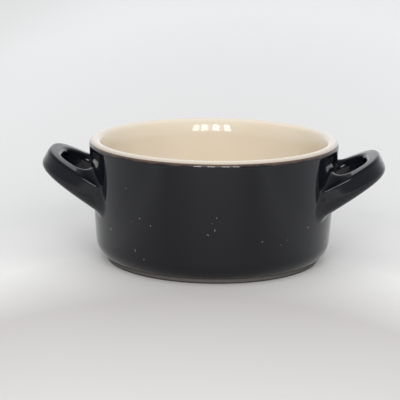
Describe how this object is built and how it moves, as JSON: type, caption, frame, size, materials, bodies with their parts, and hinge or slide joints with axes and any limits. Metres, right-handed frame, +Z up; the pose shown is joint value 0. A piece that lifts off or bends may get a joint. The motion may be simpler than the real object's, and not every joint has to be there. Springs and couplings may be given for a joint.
{
  "type": "mini cocotte",
  "caption": "Small round stoneware baking pot with tilted loop handles, black glaze outside, cream glaze inside and a bare foot ring.",
  "frame": {"origin": "on the pot's axis, in the plane of the foot ring that it stands on", "axes": "+Z up along the pot's axis, +X through the right handle, -Y towards the viewer of the picture"},
  "size_m": [0.1372, 0.1, 0.049],
  "materials": {
    "bare_stoneware": "bare fired clay, matt",
    "cream_glaze": "glossy cream glaze",
    "black_glaze": "glossy black glaze"
  },
  "bodies": {
    "root": {"stoneware_body": "bare_stoneware", "cream_liner_glaze": "cream_glaze", "black_wall_glaze": "black_glaze", "black_base_glaze": "black_glaze", "right_handle": "black_glaze", "left_handle": "black_glaze"}
  },
  "joints": []
}
